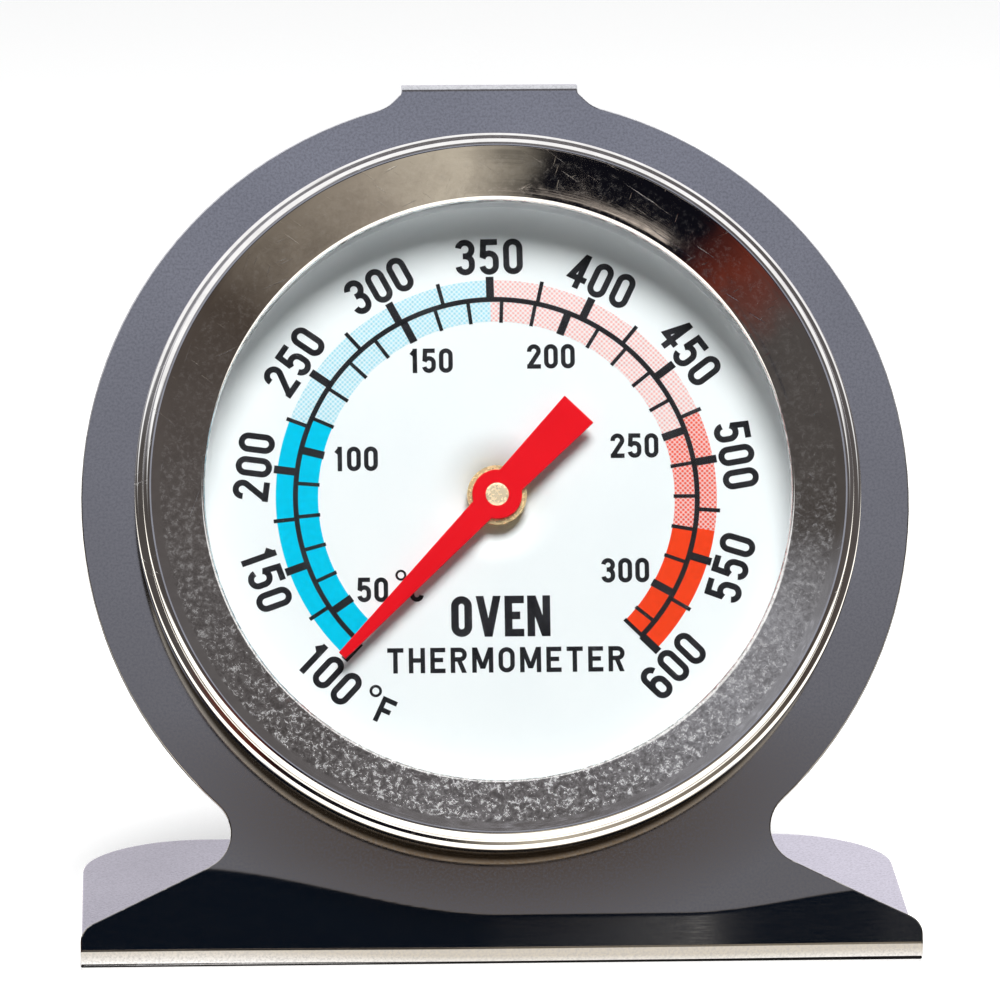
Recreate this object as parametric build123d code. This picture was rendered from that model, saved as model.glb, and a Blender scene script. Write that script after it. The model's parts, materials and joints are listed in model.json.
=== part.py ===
from build123d import *
import os
from math import cos, radians, sin

# Bimetal oven thermometer on a bent sheet-steel stand, in millimetres.
#
# Row frame: +Z up, the dial faces -Y, the origin is the centre of the foot's flat underside.
# The head (case, dial, glass, movement) is drawn in its own frame, set on the leaning plate:
# x to the viewer's right, y up the plate, z out of the plate's front face towards the viewer.

# Stand, one stamping
SHEET = 0.6              # stand sheet thickness
LEAN = 22.0              # the plate leans back from vertical, degrees
RING_RADIUS = 35.85      # outer radius of the round plate
HOLE_RADIUS = 26.15      # hole that takes the case drum
BASE_HALF_WIDTH = 36.2
FOOT_DEPTH = 42.4        # front of the bend to the foot's rear edge
FOOT_CORNER = 11.0       # rear corner radius in plan
BEND_RADIUS = 1.4        # outer radius of the bend between plate and foot
BEND_BELOW_CENTRE = 38.9 # from the ring's centre down the plate to the bend's axis
FLARE_INNER = (16.5, -27.44)  # inner end of the flare's slope, inside the ring
FLARE_OUTER_Y = -37.1         # where the slope meets the base's upright end
WAIST_RADIUS = 3.2
BASE_CORNER = 1.8
TAB_HALF_WIDTH = 7.7
TAB_TOP = 36.87          # top of the hook's first bend
TAB_BEND = 0.9           # outer radius of that bend
TAB_SIDE = (11.0, 32.7)  # foot of the tab's slanting side, inside the ring
TAB_FILLET = 3.0
HOOK_GAP = 8.0           # clear space behind the plate, for a rack rod
HOOK_DROP = 5.5
HOOK_END_BEND = 2.4      # outer radius of the second bend

# Head, heights are above the plate's front face
CASE_SHEET = 0.45
DRUM_RADIUS = 26.0
DRUM_BACK = -9.4         # outside of the case's back wall
FLANGE_RADIUS = 30.1
FLANGE_TOP = 0.90        # the dial lies here
CASE_CORNER = 1.6
LUG_WIDTH = 5.0          # lugs lanced out of the drum, bent over behind the plate
LUG_REACH = 2.2
LUG_WINDOW = 3.0
LUG_COUNT = 4
VENT_RADIUS = 1.6
VENT_CIRCLE = 15.0
VENT_COUNT = 6
DISH_RADIUS = 8.0        # round pressing in the middle of the back wall
DISH_DEPTH = 0.5

BEZEL_SHEET = 0.45
BEZEL_LIP = 25.4         # centre-line radius of the lip round the glass
BEZEL_LIP_FLANK = 6.15   # centre-line height where the flank meets the lip
BEZEL_RIM = 30.3         # centre-line radius of the front rim
BEZEL_RIM_TOP = 7.2
BEZEL_SHOULDER = 6.0     # the bead steps out here
BEZEL_BEAD = 31.0        # centre-line radius of the bead below the rim
BEZEL_BEAD_LOW = 4.0     # below this the wall tucks in again
BEZEL_WALL = 30.4        # centre-line radius of the wall round dial and flange
BEZEL_ROLL = 29.0        # centre-line radius where the rolled-under edge ends

DIAL_RADIUS = 30.0
DIAL_SHEET = 0.5
SPACER_RADIUS = 25.5     # inner wall
SPACER_SHEET = 0.4
GLASS_BACK = 3.9
GLASS_THICKNESS = 1.5
GLASS_RADIUS = 29.8
GASKET_THICKNESS = 0.3
GASKET_INNER = 25.3
GASKET_OUTER = 29.0

# Movement
SPINDLE_RADIUS = 0.75
RUNNING_CLEARANCE = 0.05
SPINDLE_REAR = -8.2
PIVOT_FLANGE = 2.2
BRACKET_SHEET = 0.8
BRACKET_WIDTH = 6.0
BRACKET_REACH = 11.8     # outer face of the bracket's side leg
BRACKET_REAR = -7.8
COLLET_RADIUS = 1.6
COLLET_SPAN = (-6.2, -1.8)
COIL_STRIP = 0.35
COIL_SPAN = (-5.6, -2.4)
COIL_TURNS = 5
COIL_TAIL = 2.8          # straight outer end, riveted to the bracket
RIVET_RADIUS = 0.6
RIVET_X = 1.35

# Pointer, red sheet on a brass boss
POINTER_BACK = 2.6
POINTER_SHEET = 0.4
POINTER_ANGLE = 225.8    # tip direction at rest, counter-clockwise from the viewer's right
TIP_REACH = 19.4
TIP_WIDTH = 0.8
NECK_WIDTH = 2.3
HUB_RADIUS = 2.15
TAIL_REACH = 10.3
TAIL_NARROW = 2.45
TAIL_WIDE = 3.42
RIVETED_END_RADIUS = 1.0 # spindle's front end, through washer and pointer
WASHER_RADIUS = 2.58
WASHER_THICKNESS = 0.45

# The foot's flat underside runs from the bend's axis to the rear edge, centred on the origin.
BEND_Y = -(FOOT_DEPTH - BEND_RADIUS) / 2
FOOT_REAR = -BEND_Y
OUTWARD = Vector(0, -cos(radians(LEAN)), sin(radians(LEAN)))
UPWARD = Vector(0, sin(radians(LEAN)), cos(radians(LEAN)))
RING_CENTRE = Vector(0, BEND_Y, BEND_RADIUS) + BEND_RADIUS * OUTWARD + BEND_BELOW_CENTRE * UPWARD
HEAD = Plane(origin=RING_CENTRE, x_dir=(1, 0, 0), z_dir=OUTWARD)

DIAL_FACE = FLANGE_TOP + DIAL_SHEET


def turned(*outline):
    """Solid of revolution about the head's z from (radius, height) corners."""
    return revolve(Plane.XZ * make_face(Polyline(*outline, close=True)), Axis.Z)


def disc(radius, low, high, bore=0.0):
    """Round plate or ring between two heights."""
    face = Circle(radius)
    if bore:
        face -= Circle(bore)
    return extrude(Pos(0, 0, low) * face, high - low)


def bent_strip(path, thickness):
    """Closed face of a sheet's section along its centre line, with square ends."""
    line = Wire(path.edges())
    faces = [line.offset_2d(thickness / 2, side=s, closed=False) for s in (Side.LEFT, Side.RIGHT)]
    caps = [
        Line(*[min((face @ 0, face @ 1), key=lambda p: (p - end).length) for face in faces])
        for end in (line @ 0, line @ 1)
    ]
    return make_face([*faces[0].edges(), *faces[1].edges(), *caps])


def circles(shape, radius, height):
    """The circular edges of that radius at that height."""
    return [
        e for e in shape.edges().filter_by(GeomType.CIRCLE)
        if abs(e.radius - radius) < 0.01 and abs(e.arc_center.Z - height) < 0.01
    ]


def plate_outline():
    """Front view of the stand's plate: ring, flared base and hook tab, without the hole."""
    inner_x, inner_y = FLARE_INNER
    base = Polygon(
        (-BASE_HALF_WIDTH, -BEND_BELOW_CENTRE), (BASE_HALF_WIDTH, -BEND_BELOW_CENTRE),
        (BASE_HALF_WIDTH, FLARE_OUTER_Y), (inner_x, inner_y),
        (-inner_x, inner_y), (-BASE_HALF_WIDTH, FLARE_OUTER_Y),
        align=None,
    )
    side_x, side_y = TAB_SIDE
    tab_flat = TAB_TOP - TAB_BEND
    tab = Polygon(
        (-side_x, side_y), (side_x, side_y),
        (TAB_HALF_WIDTH, tab_flat), (-TAB_HALF_WIDTH, tab_flat),
        align=None,
    )
    outline = Circle(RING_RADIUS) + base + tab
    waist = [
        v for v in outline.vertices()
        if -34 < v.Y < -28 and inner_x < abs(v.X) < RING_RADIUS - 10
    ]
    outline = fillet(waist, WAIST_RADIUS)
    corners = [v for v in outline.vertices() if abs(v.Y - FLARE_OUTER_Y) < 0.01]
    outline = fillet(corners, BASE_CORNER)
    tab_roots = [v for v in outline.vertices() if v.Y > 33 and TAB_HALF_WIDTH + 0.5 < abs(v.X) < 12]
    return fillet(tab_roots, TAB_FILLET)


def hook():
    """The tab's bend, run and turned-down end, in the head's frame."""
    side_view = Plane(origin=(0, 0, 0), x_dir=(0, 0, 1), z_dir=(-1, 0, 0))
    middle = -SHEET / 2
    top = TAB_TOP - SHEET / 2
    rear = -SHEET - HOOK_GAP - SHEET / 2
    path = FilletPolyline(
        (middle, TAB_TOP - 2 * TAB_BEND), (middle, top), (rear, top), (rear, TAB_TOP - HOOK_DROP),
        radius=[TAB_BEND - SHEET / 2, HOOK_END_BEND - SHEET / 2],
    )
    strip = extrude(side_view * bent_strip(path, SHEET), TAB_HALF_WIDTH, both=True)
    tip_edges = strip.edges().filter_by(Axis.Z).sort_by(Axis.Y)[:2]
    return fillet(tip_edges, 2.0)


def foot():
    """The bend under the plate and the foot that runs back from it, in the row frame."""
    lean = radians(LEAN)
    middle = BEND_RADIUS - SHEET / 2
    tangent = Vector(0, BEND_Y, BEND_RADIUS) + middle * OUTWARD
    corner = tangent - UPWARD * (middle * (1 + sin(lean)) / cos(lean))
    start = tangent + UPWARD * SHEET
    side_view = Plane(origin=(0, 0, 0), x_dir=(0, 1, 0), z_dir=(1, 0, 0))
    path = FilletPolyline(
        (start.Y, start.Z), (corner.Y, corner.Z), (FOOT_REAR, SHEET / 2),
        radius=middle,
    )
    strip = extrude(side_view * bent_strip(path, SHEET), BASE_HALF_WIDTH, both=True)
    depth = FOOT_REAR - BEND_Y + 3 * BEND_RADIUS
    plan = Pos(0, FOOT_REAR - depth / 2) * Rectangle(2 * BASE_HALF_WIDTH, depth)
    plan = fillet([v for v in plan.vertices() if v.Y > 0], FOOT_CORNER)
    return strip & extrude(plan, 4 * BEND_RADIUS)


def stand_plate():
    plate = extrude(Pos(0, 0, -SHEET) * (plate_outline() - Circle(HOLE_RADIUS)), SHEET)
    return HEAD.location * (plate + hook()) + foot()


def case_cup():
    """Drawn cup: flange under the dial, drum through the plate, vented back, lanced lugs."""
    inner = DRUM_RADIUS - CASE_SHEET
    floor = DRUM_BACK + CASE_SHEET
    dish_edge = DISH_RADIUS + DISH_DEPTH
    cup = turned(
        (0, DRUM_BACK + DISH_DEPTH), (DISH_RADIUS, DRUM_BACK + DISH_DEPTH), (dish_edge, DRUM_BACK),
        (DRUM_RADIUS, DRUM_BACK), (DRUM_RADIUS, FLANGE_TOP - CASE_SHEET),
        (FLANGE_RADIUS, FLANGE_TOP - CASE_SHEET), (FLANGE_RADIUS, FLANGE_TOP), (inner, FLANGE_TOP),
        (inner, floor), (dish_edge, floor), (DISH_RADIUS, floor + DISH_DEPTH),
        (0, floor + DISH_DEPTH),
    )
    cup = fillet(circles(cup, DRUM_RADIUS, DRUM_BACK), CASE_CORNER)
    cup = fillet(circles(cup, inner, floor), CASE_CORNER - CASE_SHEET)
    for vent in PolarLocations(VENT_CIRCLE, VENT_COUNT):
        cup -= Pos(0, 0, DRUM_BACK) * vent * Cylinder(VENT_RADIUS, 4 * CASE_SHEET)
    lug_back = -SHEET - CASE_SHEET
    lug_length = LUG_REACH + CASE_SHEET
    window = Pos(DRUM_RADIUS, 0, lug_back - LUG_WINDOW / 2) * Box(3, LUG_WIDTH, LUG_WINDOW)
    lug = Pos(inner + lug_length / 2, 0, lug_back + CASE_SHEET / 2) * Box(
        lug_length, LUG_WIDTH, CASE_SHEET
    )
    for turn in range(LUG_COUNT):
        spin = Rot(0, 0, 45 + turn * 360 / LUG_COUNT)
        cup = cup - spin * window + spin * lug
    return cup


def bezel_ring():
    """Lip, shallow dished flank, front rim, bead, wall and edge rolled under the flange."""
    half = BEZEL_SHEET / 2
    lip_end = GLASS_BACK + GLASS_THICKNESS + GASKET_THICKNESS
    path = FilletPolyline(
        (BEZEL_LIP, lip_end), (BEZEL_LIP, BEZEL_LIP_FLANK), (BEZEL_RIM - 0.35, BEZEL_RIM_TOP),
        (BEZEL_RIM, BEZEL_RIM_TOP - 0.3), (BEZEL_RIM, BEZEL_SHOULDER + 0.1),
        (BEZEL_BEAD, BEZEL_SHOULDER), (BEZEL_BEAD, BEZEL_BEAD_LOW),
        (BEZEL_WALL, BEZEL_BEAD_LOW - 0.6), (BEZEL_WALL, half), (BEZEL_ROLL, half),
        radius=0.3,
    )
    return revolve(Plane.XZ * bent_strip(path, BEZEL_SHEET), Axis.Z)


def spacer_ring():
    """L-section ring that holds the dial down and carries the glass."""
    outer = SPACER_RADIUS + SPACER_SHEET
    ring = turned(
        (SPACER_RADIUS, DIAL_FACE), (GLASS_RADIUS - 0.4, DIAL_FACE),
        (GLASS_RADIUS - 0.4, DIAL_FACE + SPACER_SHEET), (outer, DIAL_FACE + SPACER_SHEET),
        (outer, GLASS_BACK), (SPACER_RADIUS, GLASS_BACK),
    )
    return fillet(circles(ring, SPACER_RADIUS, GLASS_BACK), 0.3)


def glass_lens():
    lens = disc(GLASS_RADIUS, GLASS_BACK, GLASS_BACK + GLASS_THICKNESS)
    return chamfer(lens.edges(), 0.2)


def lens_gasket():
    front = GLASS_BACK + GLASS_THICKNESS
    return disc(GASKET_OUTER, front, front + GASKET_THICKNESS, bore=GASKET_INNER)


def dial_plate():
    return disc(DIAL_RADIUS, FLANGE_TOP, DIAL_FACE, bore=1.5)


def dial_bushing():
    """Brass bush clamped through dial and bracket, its rear end staked over."""
    bore = SPINDLE_RADIUS + RUNNING_CLEARANCE
    back = FLANGE_TOP - BRACKET_SHEET
    return turned(
        (bore, DIAL_FACE + 0.35), (2.2, DIAL_FACE + 0.35), (2.2, DIAL_FACE), (1.5, DIAL_FACE),
        (1.5, back - 0.3), (1.95, back - 0.3), (1.75, back - 0.7), (bore, back - 0.7),
    )


def bushing_washer():
    back = FLANGE_TOP - BRACKET_SHEET
    return disc(2.8, back - 0.3, back, bore=1.5)


def movement_bracket():
    """C-shaped strap behind the dial: front leg on the bush, side leg, rear leg for the pivot."""
    side_view = Plane(origin=(0, 0, 0), x_dir=(0, 0, 1), z_dir=(-1, 0, 0))
    half = BRACKET_SHEET / 2
    front = FLANGE_TOP - half
    rear = BRACKET_REAR + half
    leg = BRACKET_REACH - half
    overhang = -BRACKET_WIDTH / 2
    path = FilletPolyline(
        (front, overhang), (front, leg), (rear, leg), (rear, overhang), radius=half + 0.6,
    )
    strap = extrude(side_view * bent_strip(path, BRACKET_SHEET), BRACKET_WIDTH / 2, both=True)
    ends = [
        e for e in strap.edges().filter_by(Axis.Z)
        if abs(e.center().Y - overhang) < 0.01
    ]
    strap = fillet(ends, BRACKET_WIDTH / 2 - 0.2)
    strap -= disc(1.5, front - 1, front + 1)
    strap -= disc(1.4, rear - 1, rear + 1)
    return strap - across_leg(RIVET_RADIUS, leg - 1, leg + 1)


def across_leg(radius, low, high):
    """Round bar along y at the coil's anchor, between two heights up the plate."""
    middle = (COIL_SPAN[0] + COIL_SPAN[1]) / 2
    return Pos(RIVET_X, (low + high) / 2, middle) * Rot(90, 0, 0) * Cylinder(radius, high - low)


def anchor_rivet():
    """Rivet through the bracket's side leg and the coil's outer end."""
    inner = BRACKET_REACH - BRACKET_SHEET - COIL_STRIP
    shank = across_leg(RIVET_RADIUS, inner, BRACKET_REACH)
    head = across_leg(2 * RIVET_RADIUS, BRACKET_REACH, BRACKET_REACH + 0.5)
    return shank + head + across_leg(1.7 * RIVET_RADIUS, inner - 0.4, inner)


def rear_pivot():
    """Brass bush in the bracket's rear leg."""
    bore = SPINDLE_RADIUS + RUNNING_CLEARANCE
    leg_front = BRACKET_REAR + BRACKET_SHEET
    return turned(
        (bore, BRACKET_REAR), (1.4, BRACKET_REAR), (1.4, leg_front), (PIVOT_FLANGE, leg_front),
        (PIVOT_FLANGE, leg_front + 0.3), (bore, leg_front + 0.3),
    )


def spindle():
    """Brass rod with the stepped front boss that washer and pointer are riveted on."""
    shoulder = POINTER_BACK - WASHER_THICKNESS
    head = POINTER_BACK + POINTER_SHEET + 0.1
    return turned(
        (0, SPINDLE_REAR), (0.55, SPINDLE_REAR), (SPINDLE_RADIUS, SPINDLE_REAR + 0.2),
        (SPINDLE_RADIUS, shoulder - 0.25), (1.35, shoulder - 0.25), (1.35, shoulder),
        (RIVETED_END_RADIUS, shoulder), (RIVETED_END_RADIUS, head - 0.12), (0.8, head), (0, head),
    )


def pointer_washer():
    return disc(WASHER_RADIUS, POINTER_BACK - WASHER_THICKNESS, POINTER_BACK, bore=RIVETED_END_RADIUS)


def pointer():
    """Red hand: long tapered needle, round hub and a short tail that widens outwards."""
    needle = Polygon(
        (0, -NECK_WIDTH / 2), (TIP_REACH, -TIP_WIDTH / 2), (TIP_REACH, TIP_WIDTH / 2),
        (0, NECK_WIDTH / 2), align=None,
    )
    tail = Polygon(
        (0, TAIL_NARROW / 2), (-TAIL_REACH, TAIL_WIDE / 2), (-TAIL_REACH, -TAIL_WIDE / 2),
        (0, -TAIL_NARROW / 2), align=None,
    )
    flat = needle + tail + Circle(HUB_RADIUS) - Circle(RIVETED_END_RADIUS)
    return Rot(0, 0, POINTER_ANGLE) * extrude(Pos(0, 0, POINTER_BACK) * flat, POINTER_SHEET)


def coil_collet():
    """Sleeve on the spindle that the coil's inner end is fixed to."""
    low, high = COLLET_SPAN
    return disc(COLLET_RADIUS, low, high, bore=SPINDLE_RADIUS)


def bimetal_coil():
    """Flat spiral strip of half turns about two centres, from the collet to the bracket."""
    outer_line = BRACKET_REACH - BRACKET_SHEET - COIL_STRIP / 2
    inner_line = COLLET_RADIUS + COIL_STRIP / 2
    pitch = (outer_line - inner_line) / COIL_TURNS
    flat = Pos(COIL_TAIL / 2, outer_line) * Rectangle(COIL_TAIL, COIL_STRIP)
    for half_turn in range(2 * COIL_TURNS + 1):
        on_left = half_turn % 2 == 0
        radius = inner_line + half_turn * pitch / 2
        ring = Circle(radius + COIL_STRIP / 2) - Circle(radius - COIL_STRIP / 2)
        side = Pos((-1 if on_left else 1) * outer_line, 0) * Rectangle(2 * outer_line, 4 * outer_line)
        flat += (Pos(0, 0 if on_left else -pitch / 2) * ring) & side
    low, high = COIL_SPAN
    strip = extrude(Pos(0, 0, low) * flat, high - low)
    return strip - across_leg(RIVET_RADIUS, outer_line - 1, outer_line + 1)


HEAD_NODES = {
    "case_cup": case_cup,
    "bezel_ring": bezel_ring,
    "lens_gasket": lens_gasket,
    "lens_glass": glass_lens,
    "spacer_ring": spacer_ring,
    "dial_plate": dial_plate,
    "dial_bushing": dial_bushing,
    "bushing_washer": bushing_washer,
    "movement_bracket": movement_bracket,
    "rear_pivot_bush": rear_pivot,
    "coil_anchor_rivet": anchor_rivet,
    "bimetal_coil": bimetal_coil,
    "coil_collet": coil_collet,
    "spindle": spindle,
    "pointer_washer": pointer_washer,
    "pointer": pointer,
}

if __name__ == "__main__":
    os.makedirs("parts", exist_ok=True)
    export_step(stand_plate(), "parts/stand_plate.step")
    for node, build in HEAD_NODES.items():
        export_step(HEAD.location * build(), f"parts/{node}.step")
    print("ring centre", RING_CENTRE, "outward", OUTWARD)
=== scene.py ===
import json
from math import ceil, cos, pi, radians, sin, tan

import bmesh
import bpy
from mathutils import Matrix, Vector


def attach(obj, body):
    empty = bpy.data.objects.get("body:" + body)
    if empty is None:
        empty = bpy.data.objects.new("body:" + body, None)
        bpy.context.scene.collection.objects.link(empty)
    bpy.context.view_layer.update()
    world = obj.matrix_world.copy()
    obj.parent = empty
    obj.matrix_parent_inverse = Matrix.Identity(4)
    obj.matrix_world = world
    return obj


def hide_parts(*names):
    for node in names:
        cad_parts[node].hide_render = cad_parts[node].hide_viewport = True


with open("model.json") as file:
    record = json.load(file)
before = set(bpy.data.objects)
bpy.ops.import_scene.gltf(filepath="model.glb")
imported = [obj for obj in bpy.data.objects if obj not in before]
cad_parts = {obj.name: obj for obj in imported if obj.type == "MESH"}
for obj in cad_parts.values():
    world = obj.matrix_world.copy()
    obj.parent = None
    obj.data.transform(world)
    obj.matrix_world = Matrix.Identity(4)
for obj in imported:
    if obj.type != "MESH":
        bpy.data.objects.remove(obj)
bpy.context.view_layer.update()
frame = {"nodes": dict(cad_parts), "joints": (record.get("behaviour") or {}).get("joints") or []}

MM = 0.001
FIXED = "stand_and_head"
MOVING = "pointer_assembly"

hinge = frame["joints"][0]
CENTRE = Vector(hinge["pos_m"])
OUTWARD = -Vector(hinge["axis"]).normalized()
RIGHT = Vector((1, 0, 0))
UPWARD = OUTWARD.cross(RIGHT)
HEAD = Matrix.Translation(CENTRE) @ Matrix((RIGHT, UPWARD, OUTWARD)).transposed().to_4x4()
HEAD_MM = HEAD @ Matrix.Scale(MM, 4)

# Head sizes, heights above the plate's front face
SEGMENTS = 240
BEZEL_SHEET = 0.45
BEZEL_LIP = 25.4
BEZEL_LIP_FLANK = 6.15
BEZEL_RIM = 30.3
BEZEL_RIM_TOP = 7.2
BEZEL_SAG = 0.035        # the flank is dished by this much
BEZEL_SHOULDER = 6.0
BEZEL_BEAD = 31.0
BEZEL_BEAD_LOW = 4.0
BEZEL_WALL = 30.4
BEZEL_ROLL = 29.0
LIP_END = 5.5
DIAL_LOW = 0.9
DIAL_FACE = 1.4
DIAL_RADIUS = 30.0
DIAL_BORE = 1.5
GLASS_BACK = 3.9
GLASS_FRONT = 5.4
GLASS_RADIUS = 29.8

# Printed scale
INK = 0.012              # thickness of a layer of print
ARC_RADIUS = 17.35
BAND_OUTER = 19.05
BAND_INNER = 15.4
ZERO_ANGLE = 226.5       # direction of the 100 degree F mark
DEGREES_PER_F = -0.5424
ARC_WIDTH = 0.44
MAJOR_TICK = 0.68        # widths of the ticks
MINOR_TICK = 0.34
CELSIUS_TICK = 0.32
TICK_OUT = 0.3           # ticks reach this far past the band's outer edge
TICK_IN = 0.1            # and this far past its inner edge
BAND_GAP = 0.1           # white on both sides of the arc
DOT_PITCH = 0.30         # of the screened colours
NUMERAL_RADIUS = 21.1

# Lettering: height, character width, gap, stroke
FAHRENHEIT_TYPE = (3.15, 1.70, 0.38, 0.53)
CELSIUS_TYPE = (2.15, 1.2, 0.27, 0.39)
UNIT_TYPE = (2.3, 1.35, 0, 0.42)
OVEN_TYPE = (3.55, 1.80, 0.28, 0.66)
THERMOMETER_TYPE = (2.2, 1.40, 0.45, 0.39)
WIDER = {"1": 0.72, "E": 0.93, "M": 1.3, "V": 1.25, "N": 1.1}    # times the character width

# Visual stand plate, heights on the plate from the ring's centre
BEND_START = -38.9       # the CAD plate's bend begins here
BEND_BOTTOM = -40.1
EASE_TILT = 0.10         # slope that the sheet has taken on soon after it starts to ease
EASE_SOON = 0.2          # share of the eased length in which it takes on that slope
EASE_MIDDLE = -35.8      # where the sheet starts to ease, in the plate's middle
EASE_LEFT = (4.8, 28.0)  # it starts this much higher at the left, over this width
EASE_RIGHT = (2.2, 18.0) # the same at the right
EASE_RIGHT_FROM = 16.0
FOOT_FADE = 41.0         # the foot's points follow less and less over this depth
CUTS_FROM = -31.5        # rows and columns of cuts give the eased part its points
ROW_STEP = 0.25
ROWS = 30
COLUMN_STEP = 1.2
COLUMNS = 61
COLUMNS_FROM = -36


# ---------------------------------------------------------------- meshes

def finish_piece(name, mesh_maker, body, material, replaces=(), weighted=True):
    """New head piece in millimetres, placed in the row frame, riding on a body."""
    bm = bmesh.new()
    mesh_maker(bm)
    bmesh.ops.recalc_face_normals(bm, faces=bm.faces)
    piece = new_object(name, bm, material)
    if weighted:
        piece.data.shade_smooth()
        weigh_normals(piece)
    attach(piece, body)
    if replaces:
        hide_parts(*replaces)


def new_object(name, bm, material):
    """Object from a bmesh drawn in the head's millimetres, its points moved to the row frame."""
    bm.transform(HEAD_MM)
    mesh = bpy.data.meshes.new(name)
    bm.to_mesh(mesh)
    bm.free()
    mesh.materials.append(material)
    piece = bpy.data.objects.new(name, mesh)
    bpy.context.scene.collection.objects.link(piece)
    return piece


def weigh_normals(piece):
    modifier = piece.modifiers.new("flat faces stay flat", "WEIGHTED_NORMAL")
    modifier.weight = 100
    modifier.keep_sharp = True


def arc(cx, cy, radius, start, end, step=6.0):
    """Points along an arc between two angles in degrees."""
    count = max(2, ceil(abs(end - start) / step) + 1)
    angles = [radians(start + (end - start) * i / (count - 1)) for i in range(count)]
    return [(cx + radius * cos(a), cy + radius * sin(a)) for a in angles]


def rounded(points, radius, steps=6):
    """Open polyline with each inner corner replaced by an arc."""
    result = [Vector(points[0])]
    for before, corner, after in zip(points, points[1:], points[2:]):
        before, corner, after = Vector(before), Vector(corner), Vector(after)
        u, v = (before - corner).normalized(), (after - corner).normalized()
        half = u.angle(v) / 2
        reach = min(radius / tan(half), (before - corner).length * 0.49,
                    (after - corner).length * 0.49)
        a, b = corner + u * reach, corner + v * reach
        for i in range(steps + 1):
            t = i / steps
            result.append((1 - t) ** 2 * a + 2 * t * (1 - t) * corner + t * t * b)
    result.append(Vector(points[-1]))
    return result


def side_points(points, offset, closed=False):
    """The polyline moved sideways by offset, with mitred corners."""
    points = [Vector(p) for p in points]
    count = len(points)
    moved = []
    for i, p in enumerate(points):
        before = points[i - 1] if i or closed else None
        after = points[(i + 1) % count] if i < count - 1 or closed else None
        normals = []
        for a, b in ((before, p), (p, after)):
            if a is not None and b is not None and (b - a).length > 1e-9:
                d = (b - a).normalized()
                normals.append(Vector((-d.y, d.x)))
        mitre = sum(normals, Vector((0, 0))) / len(normals)
        moved.append(p + mitre * offset / max(mitre.length_squared, 0.25))
    return moved


def sweep_rings(bm, outline, segments=SEGMENTS):
    """Turned solid: each closed (radius, height) outline corner becomes a ring of points."""
    rings = []
    for radius, height in outline:
        if radius < 1e-6:
            rings.append([bm.verts.new((0, 0, height))] * segments)
        else:
            angles = [2 * pi * s / segments for s in range(segments)]
            rings.append([bm.verts.new((radius * cos(a), radius * sin(a), height)) for a in angles])
    for a, b in zip(rings, rings[1:] + rings[:1]):
        for s in range(segments):
            corners = [a[s], a[(s + 1) % segments], b[(s + 1) % segments], b[s]]
            corners = [c for i, c in enumerate(corners) if c not in corners[:i]]
            if len(corners) > 2:
                bm.faces.new(corners)


def strip(bm, left, right, low, high, closed=False):
    """Flat closed strip between two rows of points and two heights."""
    rows = [
        [bm.verts.new((p.x, p.y, z)) for p, z in ((l, high), (r, high), (r, low), (l, low))]
        for l, r in zip(left, right)
    ]
    for a, b in zip(rows, rows[1:] + (rows[:1] if closed else [])):
        for k in range(4):
            bm.faces.new((a[k], a[(k + 1) % 4], b[(k + 1) % 4], b[k]))
    if not closed:
        bm.faces.new(rows[0])
        bm.faces.new(rows[-1][::-1])


def ribbon(bm, points, width, low, high, closed=False):
    """Strip of even width along a line."""
    points = without_repeats(points, closed)
    left = side_points(points, width / 2, closed)
    right = side_points(points, -width / 2, closed)
    strip(bm, left, right, low, high, closed)


def without_repeats(points, closed):
    points = [Vector(p) for p in points]
    return [p for i, p in enumerate(points) if (i == 0 and not closed) or (p - points[i - 1]).length > 1e-3]


def refined(node, name, material, bevel, body=FIXED, reshape=None, clamp=True):
    """A CAD node's mesh with merged faces, softened edges and even shading."""
    bm = bmesh.new()
    bm.from_mesh(frame["nodes"][node].data)
    bmesh.ops.remove_doubles(bm, verts=bm.verts, dist=1e-6)
    bmesh.ops.dissolve_limit(bm, angle_limit=radians(0.4), verts=bm.verts, edges=bm.edges)
    bm.transform(HEAD_MM.inverted())
    bmesh.ops.remove_doubles(bm, verts=bm.verts, dist=0.03)
    sharp = [e for e in bm.edges if e.is_manifold and e.calc_face_angle() > radians(32)]
    bmesh.ops.bevel(bm, geom=sharp, offset=bevel, segments=3, profile=0.5, affect="EDGES",
                    clamp_overlap=clamp, miter_outer="ARC")
    if reshape:
        reshape(bm)
    piece = new_object(name, bm, material)
    piece.data.shade_smooth()
    if reshape:
        set_normals(piece.data)
    else:
        weigh_normals(piece)
    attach(piece, body)
    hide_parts(node)


def set_normals(mesh):
    """Shading normals: the worked-out ones where a reshape left them, else the widest face's."""
    widest = [0.0] * len(mesh.vertices)
    normals = [Vector(v.normal) for v in mesh.vertices]
    for polygon in mesh.polygons:
        for index in polygon.vertices:
            if polygon.area > widest[index]:
                widest[index] = polygon.area
                normals[index] = Vector(polygon.normal)
    turn = HEAD.to_3x3()
    for index, known in enumerate(mesh.attributes["facing"].data):
        if Vector(known.vector).length > 0.5:
            normals[index] = turn @ Vector(known.vector)
    mesh.normals_split_custom_set_from_vertices(normals)


# ---------------------------------------------------------------- shader helpers

def new_material(name, **sockets):
    """Material with a Principled shader; keyword names are its sockets, with _ for a space."""
    material = bpy.data.materials.new(name)
    material.use_nodes = True
    shader = material.node_tree.nodes["Principled BSDF"]
    for key, value in sockets.items():
        shader.inputs[key.replace("_", " ")].default_value = value
    return material, material.node_tree, shader


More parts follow.
